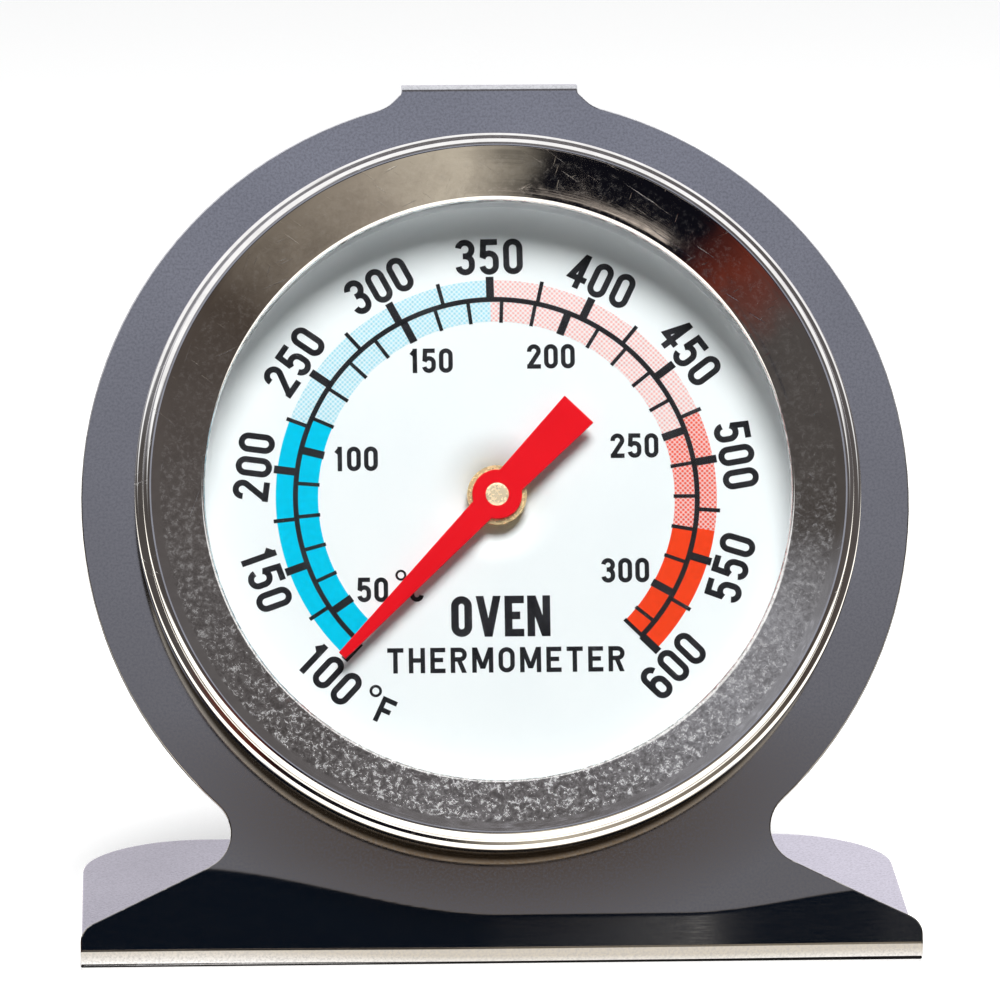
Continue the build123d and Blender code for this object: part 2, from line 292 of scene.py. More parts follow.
def add(tree, kind, inputs=None, **properties):
    """Adds a node; an input that is another node's output is linked, anything else is its value."""
    node = tree.nodes.new("ShaderNode" + kind)
    for key, value in properties.items():
        setattr(node, key, value)
    for key, value in (inputs or {}).items():
        if isinstance(value, bpy.types.NodeSocket):
            tree.links.new(value, node.inputs[key])
        else:
            node.inputs[key].default_value = value
    return node


def place(tree, stretch=(1, 1, 1), turn=(0, 0, 0)):
    """The head's own coordinates in millimetres, turned and then stretched."""
    inputs = {"Vector": add(tree, "TexCoord").outputs["Object"], "Location": tuple(CENTRE),
              "Rotation": tuple(HEAD.to_euler()), "Scale": (MM, MM, MM)}
    head = add(tree, "Mapping", inputs, vector_type="TEXTURE").outputs["Vector"]
    turned = add(tree, "Mapping", {"Vector": head, "Rotation": turn}).outputs["Vector"]
    return add(tree, "VectorMath", {0: turned, 1: stretch}, operation="MULTIPLY").outputs["Vector"]


def noise(tree, vector, scale=1.0, detail=4.0, roughness=0.55, distortion=0.0):
    inputs = {"Vector": vector, "Scale": scale, "Detail": detail, "Roughness": roughness,
              "Distortion": distortion}
    return add(tree, "TexNoise", inputs).outputs["Fac"]


def remap(tree, value, low, high, to_low=0.0, to_high=1.0):
    inputs = {"Value": value, "From Min": low, "From Max": high, "To Min": to_low, "To Max": to_high}
    return add(tree, "MapRange", inputs).outputs["Result"]


def math(tree, operation, a, b=0.0):
    return add(tree, "Math", {0: a, 1: b}, operation=operation).outputs[0]


def blend(tree, amount, a, b):
    """Mixes two colours."""
    node = add(tree, "Mix", data_type="RGBA")
    for socket, value in ((0, amount), (6, a), (7, b)):
        if isinstance(value, bpy.types.NodeSocket):
            tree.links.new(value, node.inputs[socket])
        else:
            node.inputs[socket].default_value = value if socket == 0 else (*value, 1)
    return node.outputs[2]


def bump(tree, shader, height, distance, strength=1.0):
    inputs = {"Height": height, "Distance": distance, "Strength": strength}
    tree.links.new(add(tree, "Bump", inputs).outputs["Normal"], shader.inputs["Normal"])


def scratches(tree, turn, length, thin, cover):
    """Sparse hair lines along one direction: 1 on a scratch, 0 elsewhere."""
    line = noise(tree, place(tree, (length, thin, 1), (0, 0, turn)), 1.0, 2.0, 0.5)
    patch = noise(tree, place(tree, (0.22, 0.22, 0.22), (turn, 0, 1)), 1.0, 2.0)
    return math(tree, "MULTIPLY", remap(tree, line, cover, cover + 0.03), remap(tree, patch, 0.45, 0.6))


# ---------------------------------------------------------------- materials

def satin_sheet():
    """Tin-plated stand sheet: rolled grain, fine pitting, painted shade that makes it darker and browner
    towards the foot, and a painted brown reflection of the bezel just under it.
    """
    material, tree, shader = new_material("satin_sheet", Metallic=1.0)
    coords = place(tree)
    radius = add(tree, "VectorMath", {0: coords}, operation="LENGTH").outputs["Value"]
    split = add(tree, "SeparateXYZ", {0: coords})
    height_up, outward = split.outputs[1], split.outputs[2]
    grain = noise(tree, place(tree, (0.5, 9.0, 9.0)), 1.0, 5.0, 0.6)
    smudge = noise(tree, coords, 0.09, 3.0, 0.5)
    pitting = noise(tree, coords, 4.5, 3.0, 0.6)
    tone = blend(tree, remap(tree, smudge, 0.3, 0.7), (0.57, 0.575, 0.61), (0.64, 0.645, 0.68))
    # painted shade: lower down, the plate's front and back turn darker and browner in colour, standing in for
    # a darker reflection
    low = math(tree, "MULTIPLY", remap(tree, height_up, 30.0, -28.0), remap(tree, outward, -1.4, -0.6))
    tone = blend(tree, low, tone, (0.355, 0.335, 0.31))
    # painted reflection of the bezel: a brown shade on the plate just under the bezel's lower edge
    ring = math(tree, "MULTIPLY", remap(tree, radius, 39.0, 31.5), remap(tree, height_up, -18.0, -31.0))
    tone = blend(tree, ring, tone, (0.20, 0.15, 0.105))
    tone = blend(tree, remap(tree, pitting, 0.42, 0.66, 0.0, 0.45), tone, (0.27, 0.27, 0.285))
    tree.links.new(tone, shader.inputs["Base Color"])
    rough = remap(tree, grain, 0.3, 0.7, 0.06, 0.11)
    tree.links.new(rough, shader.inputs["Roughness"])
    relief = math(tree, "MULTIPLY", math(tree, "ADD", grain, pitting), 0.4)
    bump(tree, shader, relief, 2e-6, 0.5)
    return material


def polished_ring():
    """Polished bezel: turned polish lines, handling scratches, dull smudges and painted shade in the groove
    under the bead.
    """
    material, tree, shader = new_material("polished_ring", Metallic=1.0)
    coords = place(tree)
    radius = add(tree, "VectorMath", {0: coords}, operation="LENGTH").outputs["Value"]
    split = add(tree, "SeparateXYZ", {0: coords})
    slow = [math(tree, "MULTIPLY", split.outputs[i], 0.12) for i in range(2)]
    rings = add(tree, "CombineXYZ", {0: slow[0], 1: slow[1], 2: math(tree, "MULTIPLY", radius, 7.0)})
    lathe = noise(tree, rings.outputs[0], 1.0, 3.0, 0.6)
    smudge = noise(tree, place(tree), 0.35, 5.0, 0.65, 0.6)
    fine = noise(tree, place(tree), 1.6, 5.0, 0.7)
    marks = scratches(tree, 0.6, 0.16, 4.5, 0.69)
    for turn in (1.9, 2.7):
        marks = math(tree, "MAXIMUM", marks, scratches(tree, turn, 0.2, 4.0, 0.70))
    tone = blend(tree, remap(tree, smudge, 0.4, 0.7, 0.0, 0.5), (0.82, 0.81, 0.80), (0.60, 0.58, 0.57))
    tone = blend(tree, math(tree, "MULTIPLY", marks, 0.4), tone, (0.95, 0.95, 0.95))
    # painted shade: the wall in the groove under the bead is nearly black, standing in for its shadow, and
    # the plate mirrors that dark
    groove_painted_shade = math(tree, "MULTIPLY", remap(tree, radius, 30.0, 30.2), remap(tree, split.outputs[2], 4.1, 3.5))
    worn = math(tree, "MULTIPLY", remap(tree, split.outputs[1], 5.0, -22.0, 0.12, 1.0),
                remap(tree, radius, 30.0, 29.8))
    flecks = noise(tree, coords, 1.9, 6.0, 0.8, 0.4)
    dull = math(tree, "MULTIPLY", remap(tree, flecks, 0.52, 0.60), worn)
    tree.links.new(remap(tree, dull, 0.0, 1.0, 1.0, 0.78), shader.inputs["Metallic"])
    dark = math(tree, "MULTIPLY", remap(tree, flecks, 0.50, 0.40, 0.0, 0.7), worn)
    tone = blend(tree, dark, tone, (0.30, 0.29, 0.28))
    tone = blend(tree, dull, tone, (1.0, 1.0, 1.0))
    tone = blend(tree, groove_painted_shade, tone, (0.03, 0.025, 0.02))
    tree.links.new(tone, shader.inputs["Base Color"])
    rough = math(tree, "ADD", remap(tree, smudge, 0.42, 0.7, 0.03, 0.10), math(tree, "MULTIPLY", marks, 0.15))
    rough = math(tree, "ADD", rough, math(tree, "MULTIPLY", dull, 0.34))
    tree.links.new(rough, shader.inputs["Roughness"])
    height = math(tree, "MULTIPLY", math(tree, "MULTIPLY", fine, worn), 1.4)
    height = math(tree, "ADD", height, math(tree, "MULTIPLY", lathe, 0.2))
    height = math(tree, "SUBTRACT", height, math(tree, "MULTIPLY", marks, 0.5))
    bump(tree, shader, height, 6e-6, 0.8)
    return material


def drawn_steel(name, tint=(0.62, 0.62, 0.63), stretch=(0.5, 0.5, 2.6), rough=(0.2, 0.36)):
    """Plain drawn or stamped metal with fine grain."""
    material, tree, shader = new_material(name, Metallic=1.0)
    grain = noise(tree, place(tree, stretch), 1.0, 4.0, 0.6)
    smudge = noise(tree, place(tree), 0.09, 3.0)
    dark = tuple(0.8 * c for c in tint)
    tree.links.new(blend(tree, remap(tree, smudge, 0.35, 0.7), tint, dark), shader.inputs["Base Color"])
    tree.links.new(remap(tree, grain, 0.3, 0.7, *rough), shader.inputs["Roughness"])
    bump(tree, shader, grain, 4e-6, 0.5)
    return material


def drawn_case():
    """Drawn cup: draw lines up its wall and dull smudges."""
    material, tree, shader = new_material("drawn_case", Metallic=1.0)
    split = add(tree, "SeparateXYZ", {0: place(tree)})
    slow = [math(tree, "MULTIPLY", split.outputs[i], 0.25) for i in range(2)]
    along = math(tree, "MULTIPLY", split.outputs[2], 2.5)
    lines = add(tree, "CombineXYZ", {0: slow[0], 1: slow[1], 2: along}).outputs[0]
    draw = noise(tree, lines, 1.0, 4.0)
    smudge = noise(tree, place(tree), 0.12, 4.0)
    tone = blend(tree, remap(tree, smudge, 0.35, 0.65), (0.62, 0.62, 0.63), (0.50, 0.50, 0.52))
    tree.links.new(tone, shader.inputs["Base Color"])
    tree.links.new(remap(tree, draw, 0.3, 0.7, 0.18, 0.34), shader.inputs["Roughness"])
    bump(tree, shader, draw, 6e-6, 0.5)
    return material


def turned_brass(name, tint=(0.83, 0.62, 0.30), tarnished=0.6, metallic=1.0):
    """Brass with tool marks and a little tarnish."""
    material, tree, shader = new_material(name, Metallic=metallic)
    tarnish = noise(tree, place(tree), 0.9, 4.0, 0.6)
    fine = noise(tree, place(tree), 3.0, 3.0, 0.6)
    dark = tuple(tarnished * c for c in tint)
    tree.links.new(blend(tree, remap(tree, tarnish, 0.4, 0.7), tint, dark), shader.inputs["Base Color"])
    tree.links.new(remap(tree, fine, 0.3, 0.7, 0.18, 0.34), shader.inputs["Roughness"])
    bump(tree, shader, fine, 6e-6, 0.3)
    return material


def enamel(name, tint, stain, rough, coat):
    """Painted sheet with faint unevenness."""
    material, tree, shader = new_material(name, Coat_Weight=coat, Coat_Roughness=0.12,
                                          Specular_IOR_Level=0.2)
    cloud = noise(tree, place(tree), 0.12, 3.0)
    peel = noise(tree, place(tree), 3.0, 3.0)
    tree.links.new(blend(tree, remap(tree, cloud, 0.3, 0.7), tint, stain), shader.inputs["Base Color"])
    tree.links.new(remap(tree, peel, 0.3, 0.7, rough - 0.05, rough + 0.08), shader.inputs["Roughness"])
    bump(tree, shader, peel, 3e-6, 0.5)
    return material


def printed(name, tint, coverage=1.0):
    """Ink on the dial; below full coverage it is a screen of round dots on white."""
    material, tree, shader = new_material(name, Roughness=0.5, Specular_IOR_Level=0.12)
    cloud = noise(tree, place(tree), 2.2, 3.0)
    shade = tuple(0.86 * c for c in tint)
    ink = blend(tree, remap(tree, cloud, 0.3, 0.7), tint, shade)
    if coverage < 1.0:
        flat = place(tree, (1, 1, 0), (0, 0, radians(45)))
        grid = {"Vector": flat, "Scale": 1 / DOT_PITCH, "Randomness": 0.0}
        spot = add(tree, "TexVoronoi", grid, voronoi_dimensions="2D").outputs["Distance"]
        reach = (coverage / pi) ** 0.5
        ink = blend(tree, remap(tree, spot, reach - 0.25, reach + 0.3), ink, (0.84, 0.87, 0.88))
    tree.links.new(ink, shader.inputs["Base Color"])
    bump(tree, shader, cloud, 2e-6, 0.3)
    return material


def clear_glass():
    """Flat glass; light that only passes through for shading is let straight through."""
    material, tree, shader = new_material("clear_glass", Transmission_Weight=1.0, IOR=1.12)
    shader.inputs["Base Color"].default_value = (0.985, 0.995, 0.995, 1)
    haze = noise(tree, place(tree), 0.2, 3.0)
    tree.links.new(remap(tree, haze, 0.4, 0.8, 0.0, 0.02), shader.inputs["Roughness"])
    path = add(tree, "LightPath")
    passing = math(tree, "MAXIMUM", path.outputs["Is Shadow Ray"], path.outputs["Is Diffuse Ray"])
    clear = add(tree, "BsdfTransparent", {"Color": (0.97, 0.98, 0.98, 1)})
    mix = add(tree, "MixShader", {0: passing, 1: shader.outputs[0], 2: clear.outputs[0]})
    tree.links.new(mix.outputs[0], tree.nodes["Material Output"].inputs["Surface"])
    return material


def fibre_ring():
    material, tree, shader = new_material("fibre_ring")
    fibre = noise(tree, place(tree), 1.5, 6.0, 0.7)
    tree.links.new(blend(tree, fibre, (0.78, 0.76, 0.70), (0.55, 0.53, 0.48)), shader.inputs["Base Color"])
    tree.links.new(remap(tree, fibre, 0.3, 0.7, 0.6, 0.9), shader.inputs["Roughness"])
    bump(tree, shader, fibre, 2e-5, 0.6)
    return material


def heat_tinted_strip():
    """Bimetal strip: straw to blue heat tint and rolled grain."""
    material, tree, shader = new_material("heat_tinted_strip", Metallic=1.0)
    tint = noise(tree, place(tree), 0.2, 2.0)
    tone = blend(tree, remap(tree, tint, 0.35, 0.65), (0.66, 0.55, 0.36), (0.42, 0.44, 0.52))
    tree.links.new(tone, shader.inputs["Base Color"])
    grain = noise(tree, place(tree), 5.0, 4.0)
    tree.links.new(remap(tree, grain, 0.3, 0.7, 0.22, 0.4), shader.inputs["Roughness"])
    bump(tree, shader, grain, 4e-6, 0.5)
    return material


# ---------------------------------------------------------------- head pieces

def bezel_mesh(bm):
    """Turned sheet ring; its flank is a shallow dish."""
    half = BEZEL_SHEET / 2
    flank_in = Vector((BEZEL_LIP, BEZEL_LIP_FLANK))
    flank_out = Vector((BEZEL_RIM - 0.35, BEZEL_RIM_TOP))
    dish = []
    for i in range(1, 8):
        t = i / 8
        point = flank_in.lerp(flank_out, t)
        dish.append((point.x, point.y - 4 * BEZEL_SAG * t * (1 - t)))
    lip = rounded([(BEZEL_LIP, LIP_END), flank_in, dish[0]], 0.8, 10)
    rest = rounded([
        dish[-1], flank_out, (BEZEL_RIM, BEZEL_RIM_TOP - 0.3), (BEZEL_RIM, BEZEL_SHOULDER + 0.1),
        (BEZEL_BEAD, BEZEL_SHOULDER), (BEZEL_BEAD, BEZEL_BEAD_LOW),
        (BEZEL_WALL, BEZEL_BEAD_LOW - 0.6), (BEZEL_WALL, half), (BEZEL_ROLL, half),
    ], 0.34)
    line = lip[:-1] + dish[:-1] + rest
    outline = side_points(line, half) + side_points(line, -half)[::-1]
    sweep_rings(bm, [(p[0], p[1]) for p in outline], 2 * SEGMENTS)


def glass_mesh(bm):
    edge = 0.2
    sweep_rings(bm, [
        (0, GLASS_BACK), (GLASS_RADIUS - edge, GLASS_BACK), (GLASS_RADIUS, GLASS_BACK + edge),
        (GLASS_RADIUS, GLASS_FRONT - edge), (GLASS_RADIUS - edge, GLASS_FRONT), (0, GLASS_FRONT),
    ])


def dial_mesh(bm):
    edge = 0.06
    rings = [DIAL_BORE, 6, 12, 18, 24, DIAL_RADIUS - edge]
    top = [(r, DIAL_FACE) for r in rings]
    sweep_rings(bm, top + [
        (DIAL_RADIUS, DIAL_FACE - edge), (DIAL_RADIUS, DIAL_LOW + edge), (DIAL_RADIUS - edge, DIAL_LOW),
    ] + [(r, DIAL_LOW) for r in rings[-2::-1]])


# ---------------------------------------------------------------- dial print

def direction(fahrenheit):
    return ZERO_ANGLE + (fahrenheit - 100) * DEGREES_PER_F


def from_celsius(celsius):
    return celsius * 9 / 5 + 32


def polar(radius, angle):
    return Vector((radius * cos(radians(angle)), radius * sin(radians(angle))))


def band(name, low_f, high_f, inner, outer, material):
    """Coloured ring sector of print between two temperatures."""
    angles = (direction(low_f), direction(high_f))
    path = arc(0, 0, (inner + outer) / 2, *angles, step=1.5)

    def mesh(bm):
        ribbon(bm, path, outer - inner, DIAL_FACE, DIAL_FACE + INK)

    finish_piece(name, mesh, FIXED, material, weighted=False)


def black_line(bm, path, width):
    """Line of the scale, printed over the coloured bands."""
    ribbon(bm, path, width, DIAL_FACE + INK / 2, DIAL_FACE + 2 * INK)


def tick(bm, angle, end, width):
    black_line(bm, [polar(ARC_RADIUS, angle), polar(end, angle)], width)


def scale_mesh(bm):
    """Black arc, Fahrenheit ticks outside it and Celsius ticks inside it."""
    ends = (direction(100), direction(600))
    black_line(bm, arc(0, 0, ARC_RADIUS, *ends, step=1.5), ARC_WIDTH)
    for fahrenheit in range(100, 601, 25):
        width = MAJOR_TICK if fahrenheit % 50 == 0 else MINOR_TICK
        tick(bm, direction(fahrenheit), BAND_OUTER + TICK_OUT, width)
    for celsius in range(40, 311, 10):
        width = MAJOR_TICK if celsius % 50 == 0 else CELSIUS_TICK
        tick(bm, direction(from_celsius(celsius)), BAND_INNER - TICK_IN, width)
    for angle in ends:
        tick(bm, angle, BAND_INNER - TICK_IN, MINOR_TICK)


def strokes(character, w, h, s):
    """Centre lines of a condensed sans-serif character inside a w by h box, for strokes s wide.

    Each is (kind, points): closed loops, open lines, lines with square ends that reach half
    a stroke further, and slanting lines cut level at top and bottom."""
    r = w / 2
    top, low = h + s / 2, -s / 2
    waist = 0.54 * h
    q = min(r, (h - waist) / 2)
    slant = 0.58 * s
    left, right = slant - s / 2, w + s / 2 - slant
    round_loop = arc(r, h - r, r, 0, 180, 12) + arc(r, r, r, 180, 360, 12)
    shapes = {
        "0": [("closed", round_loop)],
        "1": [("square", [(0.68 * w, 0), (0.68 * w, h)]), ("open", [(0.68 * w, h), (0.02 * w, 0.78 * h)])],
        "2": [("open", [(0, h - 1.15 * r)] + arc(r, h - r, r, 180, -28, 12) + [(0.02 * w, 0.02 * h)]),
              ("square", [(0, 0), (w, 0)])],
        "3": [("open", arc(r, h - r, r, 172, 0, 12) + arc(w - q, waist + q, q, 0, -90, 15)
               + [(0.34 * w, waist)]),
              ("open", [(w - q, waist)] + arc(w - q, waist - q, q, 90, 0, 15) + arc(r, r, r, 0, -172, 12))],
        "4": [("square", [(0.76 * w, 0), (0.76 * w, h)]),
              ("square", [(0.44 * s, 0.25 * h), (1.1 * w, 0.25 * h)]),
              ("level", [(0.76 * w, top), (left, 0.25 * h - s / 2)])],
        "5": [("open", [(w + 0.3 * s, h), (0.1 * w, h), (0.04 * w, 0.50 * h)]),
              ("open", arc(r, 0.62 * h - r, r, 165, 0, 12) + arc(r, r, r, 0, -172, 12))],
        "6": [("closed", arc(r, 0.6 * h - r, r, 0, 180, 12) + arc(r, r, r, 180, 360, 12)),
              ("open", [(0, r)] + arc(r, h - r, r, 180, 12, 12))],
        "C": [("open", arc(r, h - r, r, 5, 180, 12) + arc(r, r, r, 180, 355, 12))],
        "E": [("square", [(w, h), (0, h), (0, 0), (w, 0)]), ("open", [(0, 0.52 * h), (w, 0.52 * h)])],
        "F": [("square", [(w, h), (0, h), (0, 0)]), ("open", [(0, 0.5 * h), (w, 0.5 * h)])],
        "H": [("square", [(0, 0), (0, h)]), ("square", [(w, 0), (w, h)]),
              ("open", [(0, 0.51 * h), (w, 0.51 * h)])],
        "M": [("square", [(0, 0), (0, h)]), ("square", [(w, 0), (w, h)]),
              ("level", [(left, top), (r, 0.08 * h)]), ("level", [(right, top), (r, 0.08 * h)])],
        "N": [("square", [(0, 0), (0, h)]), ("square", [(w, 0), (w, h)]),
              ("level", [(left, top), (right, low)])],
        "O": [("closed", round_loop)],
        "R": [("square", [(0, 0), (0, h)]),
              ("open", [(0, h), (w - q, h)] + arc(w - q, h - q, q, 90, -90, 15) + [(0, h - 2 * q)]),
              ("level", [(0.5 * w, h - 2 * q), (right, low)])],
        "T": [("square", [(0, h), (w, h)]), ("square", [(r, 0), (r, h)])],
        "V": [("level", [(left, top), (r, low)]), ("level", [(right, top), (r, low)])],
    }
    return shapes[character]


def stroke_sides(kind, points, s):
    """Left and right edges of one stroke."""
    points = without_repeats(points, kind == "closed")
    if kind == "level":
        run = points[1] - points[0]
        reach = Vector((s / 2 * run.length / abs(run.y), 0))
        return [p - reach for p in points], [p + reach for p in points]
    if kind == "square":
        points[0] = points[0] + (points[0] - points[1]).normalized() * s / 2
        points[-1] = points[-1] + (points[-1] - points[-2]).normalized() * s / 2
    return side_points(points, s / 2, kind == "closed"), side_points(points, -s / 2, kind == "closed")


def write(bm, text, centre, turn, height, width, gap, stroke):
    """A line of characters centred on a point; turn is its reading direction in degrees."""
    widths = [width * WIDER.get(c, 1.0) for c in text]
    x = -(sum(widths) + gap * (len(text) - 1)) / 2
    spin = Matrix.Rotation(radians(turn), 2)
    for character, full in zip(text, widths):
        corner = Vector((x + stroke / 2, (stroke - height) / 2))
        for kind, points in strokes(character, full - stroke, height - stroke, stroke):
            sides = stroke_sides(kind, points, stroke)
            left, right = [[Vector(centre) + spin @ (corner + p) for p in side] for side in sides]
            strip(bm, left, right, DIAL_FACE, DIAL_FACE + INK, kind == "closed")
        x += full + gap


def degree_ring(bm, centre, radius, stroke):
    ribbon(bm, arc(*centre, radius, 0, 345, 15), stroke, DIAL_FACE, DIAL_FACE + INK, True)


def fahrenheit_mesh(bm):
    """Outer numerals, standing on the scale; those at the bottom read from the other side."""
    for fahrenheit in range(100, 601, 50):
        angle = direction(fahrenheit)
        turned_in = fahrenheit in (100, 150, 550, 600)
        turn = angle + 90 if turned_in else angle - 90
        write(bm, str(fahrenheit), polar(NUMERAL_RADIUS, angle), turn, *FAHRENHEIT_TYPE)
    write(bm, "F", (-9.85, -18.55), -25, *UNIT_TYPE)
    degree_ring(bm, (-10.65, -16.8), 0.42, 0.24)


def celsius_mesh(bm):
    """Inner numerals, upright beside their ticks."""
    places = {50: (-10.8, -8.0), 100: (-12.1, 3.45), 150: (-5.5, 12.0), 200: (4.9, 12.3),
              250: (12.0, 4.4), 300: (11.0, -6.5)}
    for celsius, place_of in places.items():
        write(bm, str(celsius), place_of, 0, *CELSIUS_TYPE)
    write(bm, "C", (-7.0, -8.0), 0, *CELSIUS_TYPE)
    degree_ring(bm, (-8.35, -6.75), 0.38, 0.2)


def title_mesh(bm):
    write(bm, "OVEN", (0.2, -10.4), 0, *OVEN_TYPE)
    write(bm, "THERMOMETER", (0.6, -14.2), 0, *THERMOMETER_TYPE)


def print_dial():
    cold = printed("ink_cold", (0.0, 0.55, 0.80))
    cool = printed("ink_cool", (0.34, 0.70, 0.82), 0.5)
    warm = printed("ink_warm", (0.88, 0.40, 0.36), 0.42)
    hotter = printed("ink_hotter", (0.86, 0.10, 0.05), 0.72)
    hot = printed("ink_hot", (0.86, 0.055, 0.012))
    outer = (ARC_RADIUS + BAND_GAP, BAND_OUTER)
    inner = (BAND_INNER, ARC_RADIUS - BAND_GAP)
    # ink, then Fahrenheit limits of the outer and of the inner sector
    sectors = {
        "cold": (cold, (100, 225), (100, 230)),
        "cool": (cool, (225, 350), (230, 350)),
        "warm": (warm, (350, 475), (350, 482)),
        "hotter": (hotter, (475, 535), (482, 536)),
        "hot": (hot, (535, 600), (536, 600)),
    }
    for name, (ink, outside, inside) in sectors.items():
        band(f"print_{name}_outer", *outside, *outer, ink)
        band(f"print_{name}_inner", *inside, *inner, ink)
    black = printed("ink_black", (0.012, 0.012, 0.014))
    for name, mesh in (("scale", scale_mesh), ("fahrenheit", fahrenheit_mesh),
                       ("celsius", celsius_mesh), ("title", title_mesh)):
        finish_piece(f"print_{name}", mesh, FIXED, black, weighted=False)


# ---------------------------------------------------------------- assembly

def dress_inner_nodes():
    """Materials of the CAD nodes that are shown as they are."""
    steel = drawn_steel("bracket_steel")
    brass = turned_brass("bush_brass")
    looks = {
        "lens_gasket": fibre_ring(),
        "spacer_ring": drawn_steel("spacer_aluminium", (0.86, 0.87, 0.88), (1, 1, 1), (0.35, 0.5)),
        "dial_bushing": brass, "bushing_washer": brass, "rear_pivot_bush": brass,
        "movement_bracket": steel,
        "coil_anchor_rivet": drawn_steel("rivet_aluminium", (0.80, 0.80, 0.80), (1, 1, 1)),
        "bimetal_coil": heat_tinted_strip(), "coil_collet": brass,
        "spindle": turned_brass("spindle_brass", (0.95, 0.76, 0.50), 0.9, 0.5),
        "pointer_washer": turned_brass("washer_brass", (0.90, 0.66, 0.34), 0.85, 0.6),
    }
    for node, material in looks.items():
        mesh = frame["nodes"][node].data
        mesh.materials.clear()
        mesh.materials.append(material)


def smooth(t):
    t = min(max(t, 0.0), 1.0)
    return t * t * (3 - 2 * t)


def ease_line(x):
    """Height on the plate where the sheet starts to ease into the bend."""
    left = EASE_LEFT[0] * smooth(-x / EASE_LEFT[1])
    right = EASE_RIGHT[0] * smooth((x - EASE_RIGHT_FROM) / EASE_RIGHT[1])
    return EASE_MIDDLE + left + right


def ease_shift(x, y):
    """How far back the eased sheet lies at a point of the plate."""
    length = ease_line(x) - BEND_START
    t = max((ease_line(x) - y) / length, 0.0)
    u = min(t / EASE_SOON, 1.0)
    ramp = EASE_SOON * (u ** 3 - u ** 4 / 2) + max(t - EASE_SOON, 0.0)
    return EASE_TILT * length * ramp


def cut_lower_plate(bm):
    """Rows and columns of cuts; the first row also cuts the plate's one big face."""
    rows = [CUTS_FROM - ROW_STEP * i for i in range(ROWS)]
    columns = [COLUMNS_FROM + COLUMN_STEP * i for i in range(COLUMNS)]
    cuts = [((0, y, 0), (0, 1, 0)) for y in rows] + [((x, 0, 0), (1, 0, 0)) for x in columns]
    behind_sheet = -0.8
    for point, normal in cuts:
        limit = 100 if point[1] == CUTS_FROM else CUTS_FROM + 0.01
        faces = [f for f in bm.faces if all(v.co.z > behind_sheet and v.co.y < limit for v in f.verts)]
        parts = faces + list({e for f in faces for e in f.edges} | {v for f in faces for v in f.verts})
        bmesh.ops.bisect_plane(bm, geom=parts, plane_co=point, plane_no=normal, dist=1e-5)


def eased_normal(x, y, back):
    """Direction that the eased front faces, from the shift's slopes across and up the plate."""
    step = 0.01
    across = (ease_shift(x + step, y) - ease_shift(x - step, y)) / (2 * step)
    upward = (ease_shift(x, y + step) - ease_shift(x, y - step)) / (2 * step)
    along_x = Vector((1, 0, 0)) + across * back
    along_y = Vector((0, 1, 0)) + upward * back
    return along_x.cross(along_y).normalized()


def ease_bend(bm):
    """The plate curves back slightly above its bend; the foot's front goes with it."""
    cut_lower_plate(bm)
    back = HEAD.inverted().to_3x3() @ Vector((0, 1, 0))
    foot_from = -1.0
    facing = bm.verts.layers.float_vector.new("facing")
    for v in bm.verts:
        if abs(v.co.z) < 1e-3:
            v[facing] = eased_normal(v.co.x, v.co.y, back)
        if v.co.y > CUTS_FROM and v.co.z > foot_from:
            continue
        behind = (v.co - Vector((0, BEND_START, 0))).dot(back)
        fade = 1.0 - smooth(behind / FOOT_FADE)
        height_on_plate = max(v.co.y, BEND_BOTTOM) if v.co.z > foot_from else BEND_BOTTOM
        v.co += back * ease_shift(v.co.x, height_on_plate) * fade


def build_object():
    refined("stand_plate", "stand_sheet", satin_sheet(), 0.14, reshape=ease_bend, clamp=False)
    refined("case_cup", "case_shell", drawn_case(), 0.06)
    finish_piece("bezel", bezel_mesh, FIXED, polished_ring(), ["bezel_ring"])
    finish_piece("glass", glass_mesh, FIXED, clear_glass(), ["lens_glass"])
    white = enamel("dial_white", (0.86, 0.885, 0.89), (0.83, 0.86, 0.87), 0.4, 0.1)
    finish_piece("dial_face", dial_mesh, FIXED, white, ["dial_plate"])
    print_dial()
    red = enamel("pointer_red", (0.74, 0.004, 0.011), (0.68, 0.003, 0.009), 0.40, 0.02)
    refined("pointer", "pointer_hand", red, 0.05, MOVING)
    dress_inner_nodes()


# ---------------------------------------------------------------- studio

def heading(azimuth, elevation):
    """Unit vector from the object: azimuth 0 is in front, positive to the viewer's right."""
    a, e = radians(azimuth), radians(elevation)
    return Vector((sin(a) * cos(e), -cos(a) * cos(e), sin(e)))


DEGREES = 57.2958           # in a radian
MIRROR_ELEVATION = 31.4     # where the flat plate's reflection points
SOFT_FILL = 0.13            # strength of the light that dull surfaces get from all round
FLOOR_HALF = 1.5            # metres
FLOOR_GLOW = 0.55
FLOOR_DROP = 0.00005        # the floor lies this far under the foot
CAMERA_AZIMUTH = -2.4
CAMERA_ELEVATION = 12.6
CAMERA_DISTANCE = 0.75
CAMERA_ASIDE = 0.00036      # to the viewer's right
FIELD_WIDTH = 0.0865

# Tones of the room that the bezel's flank mirrors
DARK_GREY = (0.09, 0.08, 0.075)
MID_GREY = (0.13, 0.12, 0.12)
SILVER = (0.28, 0.28, 0.30)
RUST = (0.15, 0.03, 0.018)
BLACK = (0.005, 0.005, 0.008)
CREAM = (0.62, 0.55, 0.44)
TAN = (0.35, 0.30, 0.24)
BROWN = (0.08, 0.062, 0.05)
# Tones of the areas beyond it
WARM_PATCH = (0.9, 0.78, 0.67)
BRIGHT = (1.2, 1.2, 1.2)
BRIGHT_BELOW = (1.9, 1.82, 1.66)
DARK_BEHIND = (0.02, 0.018, 0.017)
NIGHT_BLUE = (0.008, 0.015, 0.030)
LIGHT_LINE = (0.7, 0.7, 0.7)
PLATE_GREY = (0.35, 0.36, 0.42)
LILAC = (0.98, 0.93, 1.04)
PALE_FLECK = (0.8, 0.8, 0.87)
